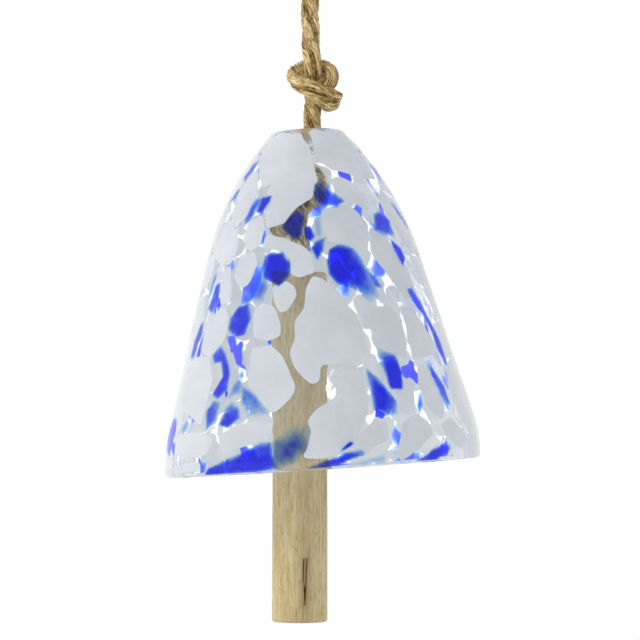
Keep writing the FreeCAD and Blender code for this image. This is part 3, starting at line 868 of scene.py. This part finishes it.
# blue chips, each with its depth of colour, the width of its soft edge in millimetres,
# and the way in which it thins out, to the right and down
cobaltChips = [
    ([(7, 52), (9, 48), (14, 46), (21, 48), (26, 53), (30, 60), (31, 66), (26, 68), (20, 64), (11, 61),
      (7, 57)], 1.35, 2.6, (0.5, 0.6)),
    ([(27, 55), (32, 59), (34, 63), (29, 62)], 0.8, 1.2, None),
    ([(3, 29), (4, 23), (9, 20), (12, 24), (22, 30), (18, 32), (8, 31)], 1.1, 1.5, (0.2, -0.8)),
    ([(-17, 39), (-12, 34), (-8, 32), (-4, 35), (-5, 42), (-9, 43)], 1.3, 1.0, None),
    ([(-4, 39), (0, 39), (3, 43), (0, 45), (-3, 43)], 1.3, 0.9, None),
    ([(1, 32), (6, 33), (6, 43), (3, 42)], 0.4, 2.5, (-0.9, -0.3)),
    ([(0, 47), (4, 44), (8, 43), (6, 48), (2, 51)], 0.8, 0.9, None),
    ([(34, 38), (38, 38), (40, 34), (46, 33), (52, 37), (52, 43), (45, 43), (38, 41)], 1.0, 1.7, (-0.4, 0.4)),
    ([(47, 44), (54, 47), (56, 51), (52, 54), (49, 49)], 1.0, 0.9, None),
    ([(63, 30), (66, 29), (75, 38), (74, 41), (66, 34)], 0.7, 0.9, None),
    ([(-26, 53), (-24, 48), (-15, 48), (-12, 52), (-12, 57), (-18, 60), (-25, 57)], 1.3, 1.7, None),
    ([(-30, 53), (-26, 54), (-23, 60), (-25, 66), (-32, 66), (-33, 60)], 0.55, 1.8, (0, 0.8)),
    ([(-34, 26), (-27, 26), (-27, 28), (-31, 33), (-35, 32)], 1.2, 1.2, None),
    ([(-44, 34), (-42, 29), (-37, 26), (-34, 27), (-36, 33), (-41, 37)], 0.65, 1.4, (0, 0.6)),
    ([(-66, 17), (-62, 12), (-54, 11), (-55, 15), (-60, 19)], 0.75, 1.2, None),
    ([(-72, 27), (-66, 22), (-62, 22), (-62, 26)], 0.7, 1.2, None),
    ([(-64, 62), (-62, 54), (-58, 53), (-60, 62)], 0.55, 1.3, None),
    ([(-60, 66), (-57, 58), (-53, 57), (-52, 63), (-55, 68)], 0.75, 1.1, None),
    ([(-42, 71), (-38, 67), (-32, 66), (-31, 72), (-33, 77), (-38, 78), (-42, 75)], 1.3, 1.5, None),
    ([(-36, 62), (-30, 63), (-31, 67), (-35, 67)], 0.3, 2.0, None),
    ([(-66, 72), (-63, 71), (-62, 76), (-66, 85), (-71, 84), (-69, 78)], 0.85, 1.0, None),
    ([(-50, 84), (-46, 80), (-42, 84), (-38, 92), (-38, 97), (-43, 100), (-46, 98), (-42, 92), (-44, 87),
      (-48, 87)], 1.15, 1.2, (0, -0.8)),
    ([(-48, 104), (-45, 100), (-41, 101), (-42, 108), (-47, 112)], 0.6, 1.2, (0, -0.4)),
    ([(-40, 109), (-38, 103), (-35, 101), (-32, 104), (-31, 108), (-36, 110)], 1.1, 1.4, (0, -0.7)),
    ([(-36, 97), (-34, 94), (-32, 88), (-31, 90), (-31, 99), (-37, 100)], 0.45, 1.2, None),
    ([(-31, 96), (-28, 98), (-18, 107), (-28, 108), (-31, 103)], 0.6, 1.1, (0.5, 0.5)),
    ([(-80, 112), (-76, 106), (-71, 107), (-69, 112), (-73, 119), (-79, 118)], 0.85, 1.4, None),
    ([(-64, 110), (-60, 106), (-57, 109), (-61, 112)], 0.25, 1.2, None),
    ([(26, 85), (33, 89), (35, 95), (33, 101), (28, 100), (27, 95), (25, 88)], 1.3, 1.8, (-0.5, -0.6)),
    ([(20, 92), (23, 95), (26, 100), (29, 105), (29, 110), (25, 111), (20, 108), (20, 100)],
     1.25, 1.8, (0.1, 0.9)),
    ([(50, 63), (54, 62), (58, 68), (62, 76), (66, 84), (67, 93), (63, 92), (60, 86), (60, 80), (57, 74),
      (52, 68)], 1.0, 1.1, (0, 0.4)),
    ([(49, 90), (52, 94), (57, 101), (59, 108), (54, 108), (52, 102), (50, 96)], 0.75, 1.0, (-0.4, 0.7)),
    ([(42, 101), (41, 107), (38, 111), (38, 107)], 0.5, 0.8, None),
    ([(-47, 128), (-44, 125), (-30, 121), (-22, 117), (-18, 117), (-16, 126), (-30, 128)], 1.1, 1.6, None),
    ([(-17, 117), (-12, 112), (-5, 110), (-4, 114), (-6, 121), (-10, 125), (-17, 127)],
     0.62, 4.0, (0.1, -0.95)),
    ([(-7, 128), (0, 125), (8, 122), (14, 121), (15, 123), (8, 125), (0, 128)], 1.15, 1.4, (0.3, -0.3)),
    ([(0, 127), (8, 126), (22, 124), (22, 127)], 0.22, 1.2, None),
    ([(32, 128), (42, 124), (52, 122), (54, 124), (44, 128)], 1.0, 1.2, (0.8, -0.3)),
    ([(7, 121), (10, 118), (11, 119), (8, 121)], 1.2, 0.5, None),
]

chipSetup = {
    "opalDepth": 1.1,           # of the white layer under the outer skin, in millimetres
    "cobaltDepth": 0.7,
    "around": 480,
    "rows": 196,
    "seam": 1.1,                # clear seam left between two white chips
    "wander": 0.42,             # how far the outlines wander
    "fineWander": 0.45,         # share of that in small waves
    "underBlue": 0.15,          # how far the white reaches in under a blue chip
    "melt": 1,                  # grid steps over which sharp corners melt round
    "backFrom": 72.0,           # degrees round from the front where the strewn white chips take over
    "blueFrom": 90.0,           # the same for the blue ones
    # strewn chips: how many, their least and greatest radius, their stretch and how uneven their corners are
    "backOpal": {"count": 125, "low": 6.5, "high": 11.0, "long": 1.5, "rough": 0.18},
    "backCobalt": {"count": 44, "low": 1.4, "high": 4.6, "long": 2.3, "rough": 0.32},
    "seed": 11,
}


def surfaceNoise(angle, drop, seed, scale):
    # smooth wandering value round the bell, a sum of waves in random directions
    rng = np.random.default_rng(seed)
    total = 0
    for _ in range(9):
        turns = rng.integers(-int(45 * scale) - 2, int(45 * scale) + 3)
        total = total + np.sin(turns * angle + rng.normal(0, 0.45 * scale) * drop + rng.uniform(0, 6.28))
    return total / 3


def strewChips(shape, start, seed, count, low, high, long, rough):
    # chips for the sides and back: random places pushed apart, each with a few corners at uneven reach
    rng = np.random.default_rng(seed)
    line = outlineParts(shape, 0)
    start, tries = math.radians(start), 6 * count
    drop = 3 + 125 * rng.random(tries) ** 0.8
    radius = np.interp(drop, -line[:, 1], line[:, 0])
    angle = start + rng.random(tries) * (2 * math.pi - 2 * start)
    flat = np.stack([radius * np.sin(angle), radius * np.cos(angle), drop * shape["slopeLength"]], 1)
    gap = np.linalg.norm(flat[:, None] - flat[None], axis=2)
    nearest = gap[0].copy()
    chips = []
    for _ in range(count):
        pick = int(nearest.argmax())
        nearest = np.minimum(nearest, gap[pick])
        corners = int(rng.integers(5, 9))
        way = (np.arange(corners) + rng.uniform(0, 0.6, corners)) * 2 * math.pi / corners
        reach = rng.uniform(low, high) * rng.uniform(1 - rough, 1 + rough, corners)
        turn = math.radians(rng.uniform(-40, 40))
        p, q = reach * np.cos(way), reach * rng.uniform(1, long) * np.sin(way)
        u, v = p * math.cos(turn) + q * math.sin(turn), q * math.cos(turn) - p * math.sin(turn)
        down = drop[pick] + v / shape["slopeLength"]
        chips.append(np.stack([np.degrees(angle[pick] + u / radius[pick]), down], 1))
    return chips


def chipDistance(shape, chip, angle, drop, radius):
    # distance to the edge of a drawn chip, inside negative, with the chip's own across and down directions
    cornerAngle = np.radians([corner[0] for corner in chip])
    cornerDrop = np.array([corner[1] for corner in chip], float)
    line, slope = outlineParts(shape, 0), shape["slopeLength"]
    at, down = cornerAngle.mean(), cornerDrop.mean()
    corners = np.stack([
        (cornerAngle - at) * np.interp(cornerDrop, -line[:, 1], line[:, 0]),
        (cornerDrop - down) * slope,
    ], 1)
    u = np.angle(np.exp(1j * (angle - at))) * radius
    v = (drop - down) * slope
    nearest = np.full(angle.shape, 1e9)
    inside = np.zeros(angle.shape, bool)
    for (ax, ay), (bx, by) in zip(corners, np.roll(corners, -1, 0)):
        t = np.clip(((u - ax) * (bx - ax) + (v - ay) * (by - ay)) / ((bx - ax) ** 2 + (by - ay) ** 2), 0, 1)
        nearest = np.minimum(nearest, np.hypot(u - ax - t * (bx - ax), v - ay - t * (by - ay)))
        crosses = (ay > v) != (by > v)
        inside ^= crosses & (u < (bx - ax) * (v - ay) / np.where(by == ay, 1e-9, by - ay) + ax)
    size = np.abs(corners).max(0)
    return np.where(inside, -nearest, nearest), u / size[0], v / size[1]


def melted(field, steps):
    # short running averages round and down the bell take the sharpness off the corners
    for _ in range(2):
        field = sum(np.roll(field, k, 1) for k in range(-steps, steps + 1)) / (2 * steps + 1)
        padded = np.pad(field, ((steps, steps), (0, 0)), "edge")
        field = sum(padded[k:k + len(field)] for k in range(2 * steps + 1)) / (2 * steps + 1)
    return field


def softEdge(away, width):
    # a quick first step at the very edge, then a slow rise over the given width
    return 0.38 * smoothSteps(-away, -0.35, 0.35) + 0.62 * smoothSteps(-away, 0, 1.35 * width)


def chipLine(shape, depth):
    # the outline without the rounded lip
    line = outlineParts(shape, depth)
    line[-1, 1] += shape["clearLip"]
    return line


def chipFields(shape, setup):
    line = evenly(chipLine(shape, 0), setup["rows"])
    angle = ringAngles(setup["around"], -np.pi)
    angle, drop, radius = np.broadcast_arrays(angle, -line[:, 1:], line[:, :1])
    wander, fine = setup["wander"], setup["fineWander"] * setup["wander"]
    reach = np.maximum(radius, 12)
    warpedAngle = angle + wander * surfaceNoise(angle, drop, 3, 0.32) / reach
    warpedAngle = warpedAngle + fine * surfaceNoise(angle, drop, 5, 1.0) / reach
    warpedDrop = drop + wander * surfaceNoise(angle, drop, 4, 0.32)
    warpedDrop = warpedDrop + fine * surfaceNoise(angle, drop, 6, 1.0)
    where = (warpedAngle, warpedDrop, radius)
    seed = setup["seed"]
    strewn = strewChips(shape, setup["backFrom"], seed, **setup["backOpal"])
    white = np.array([chipDistance(shape, chip, *where)[0] for chip in opalChips + strewn], np.float32)
    rank = np.partition(white, 1, axis=0)
    field = np.maximum(rank[0], setup["seam"] - (rank[1] - rank[0]))
    holes = np.min([chipDistance(shape, chip, *where)[0] for chip in clearOpenings], axis=0)

    strewn = strewChips(shape, setup["blueFrom"], seed + 5, **setup["backCobalt"])
    rng = np.random.default_rng(seed)
    strewn = [(chip, *rng.uniform(0.6, 1.8, 2), None) for chip in strewn]
    body = np.zeros(angle.shape)
    blue = np.full(angle.shape, 9.0)
    for chip, strength, soft, thins in cobaltChips + strewn:
        away, u, v = chipDistance(shape, chip, *where)
        thick = softEdge(away, soft) * strength
        if thins:
            thick = thick * (1 - 0.75 * smoothSteps(u * thins[0] + v * thins[1], -0.25, 1.0))
        body = np.maximum(body, thick)
        blue = np.minimum(blue, away)
    field = np.maximum(np.maximum(field, -blue - setup["underBlue"]), -holes)
    return melted(field, setup["melt"]), body


def makeChipLayer(name, shape, setup, depth, fields):
    line = evenly(chipLine(shape, setup[depth]), setup["rows"])
    angle = ringAngles(setup["around"], -np.pi)
    return gridMesh(name, bellSurface(shape, line, angle), fields=fields, flip=True)


def opalMaterial():
    # milky glass: mostly scatters light back, passes some on, with faint clouding
    made, tree = newMaterial("opalGlass")
    place = objectPlace(tree)
    cloud = noise(tree, place, 60.0, 3.0, 0.5)
    fleck = noise(tree, place, 420.0, 2.0, 0.6)
    field = attribute(tree, "whiteEdge")
    tone = maths(tree, "MULTIPLY_ADD", fleck, 0.25, maths(tree, "MULTIPLY", cloud, 0.8))
    color = colorRamp(tree, tone, [
        (0.30, (0.700, 0.740, 0.790)),
        (0.75, (0.840, 0.860, 0.885)),
    ])
    skin = principled(
        tree,
        Base_Color=color,
        Roughness=0.4,
        Specular_IOR_Level=0.2,
    )
    glow = fedNode(tree, "ShaderNodeBsdfTranslucent", {"Color": color})
    milk = mixShaders(tree, 0.35, skin, glow.outputs[0])
    clear = addNode(tree, "ShaderNodeBsdfTransparent")
    cover = remap(tree, field, 0.10, -0.16)
    showShader(tree, mixShaders(tree, cover, clear.outputs[0], milk))
    return made


def cobaltMaterial():
    # stained glass: colours what is seen through it, more where the chip is thick
    made, tree = newMaterial("cobaltGlass")
    body = attribute(tree, "blueBody")
    place = objectPlace(tree)
    streak = noise(tree, scaled(tree, place, (100, 100, 70)), 1.0, 3.0, 0.55)
    thick = maths(tree, "MULTIPLY", body, remap(tree, streak, 0.33, 0.66, 0.55, 1.25))
    tint = colorRamp(tree, thick, [
        (0.00, (1.000, 1.000, 1.000)),
        (0.10, (0.700, 0.850, 1.000)),
        (0.30, (0.240, 0.460, 1.000)),
        (0.60, (0.050, 0.120, 1.000)),
        (0.95, (0.006, 0.014, 1.000)),
    ])
    stain = fedNode(tree, "ShaderNodeBsdfTransparent", {"Color": tint})
    glow = principled(
        tree,
        Base_Color=(0.010, 0.020, 0.95, 1),
        Roughness=0.3,
        Specular_IOR_Level=0.1,
    )
    share = remap(tree, thick, 0.05, 0.9, 0.0, 0.16)
    showShader(tree, mixShaders(tree, share, stain.outputs[0], glow))
    return made


whiteField, blueField = chipFields(bellSetup, chipSetup)
opalLayer = makeChipLayer("opalLayer", bellSetup, chipSetup, "opalDepth", {"whiteEdge": whiteField})
opalLayer.data.materials.append(opalMaterial())
cobaltLayer = makeChipLayer("cobaltLayer", bellSetup, chipSetup, "cobaltDepth", {"blueBody": blueField})
cobaltLayer.data.materials.append(cobaltMaterial())
for layer in (opalLayer, cobaltLayer):
    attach(layer, "bell")
print("chips laid in the glass")


# studio: pale floor far below, white surroundings, dimmer on the camera's side

studioSetup = {
    "floorHeight": -0.50,
    "floorReach": 8.0,
    "floorFade": (0.5, 1.6),
    "seenWhite": 1.2,
    "front": 0.42,
    "back": 1.05,
    "sideLean": 0.16,
    "keyPower": 5.0,
    "keyPlace": (-0.85, -0.75, 0.45),
    "keySize": 0.5,
}


def makeSurroundings(setup):
    world = bpy.data.worlds.new("lightTent")
    scene.world = world
    world.use_nodes = True
    tree = world.node_tree
    tree.nodes.clear()
    toward = addNode(tree, "ShaderNodeTexCoord").outputs["Generated"]
    way = fedNode(tree, "ShaderNodeSeparateXYZ", {0: toward})
    level = remap(tree, way.outputs["Y"], -1.0, 0.25, setup["front"], setup["back"])
    level = maths(tree, "SUBTRACT", level, maths(tree, "MULTIPLY", way.outputs["X"], setup["sideLean"]))
    path = addNode(tree, "ShaderNodeLightPath")
    seen = maths(tree, "MAXIMUM", path.outputs["Is Camera Ray"], path.outputs["Is Transmission Ray"])
    level = remap(tree, seen, 0.0, 1.0, level, setup["seenWhite"], smooth=False)
    glow = fedNode(tree, "ShaderNodeBackground", {"Color": (1, 1, 1, 1), "Strength": level})
    fedNode(tree, "ShaderNodeOutputWorld", {0: glow.outputs[0]})


def makeFloor(setup):
    # matt and pale under the object, melting into the white further out
    ring = np.array([0.0, 0.25, 1.0, 2.5, setup["floorReach"]])[:, None]
    angle = ringAngles(96)
    level = np.full((1, 1), setup["floorHeight"])
    points = np.stack(np.broadcast_arrays(ring * np.cos(angle), ring * np.sin(angle), level), -1)
    floor = gridMesh("paleFloor", points)
    closePoles(floor)
    made, tree = newMaterial("paleFloor")
    away = fedNode(tree, "ShaderNodeVectorMath", {0: objectPlace(tree)}, operation="LENGTH")
    far = remap(tree, away.outputs["Value"], *setup["floorFade"])
    matt = principled(tree, Base_Color=(0.86, 0.86, 0.86, 1), Roughness=0.9)
    white = fedNode(tree, "ShaderNodeEmission", {"Strength": 1.0})
    showShader(tree, mixShaders(tree, far, matt, white.outputs[0]))
    floor.data.materials.append(made)


def makeKey(setup):
    # soft light from the upper left
    data = bpy.data.lights.new("softKey", "AREA")
    data.energy = setup["keyPower"]
    data.size = setup["keySize"]
    key = addObject("softKey", data)
    key.location = setup["keyPlace"]
    key.visible_glossy = False
    key.visible_transmission = False
    aim = Vector((0, 0, -0.2)) - key.location
    key.rotation_euler = aim.to_track_quat("-Z", "Y").to_euler()


makeSurroundings(studioSetup)
makeFloor(studioSetup)
makeKey(studioSetup)
scene.view_settings.view_transform = "Standard"
print("studio lit")
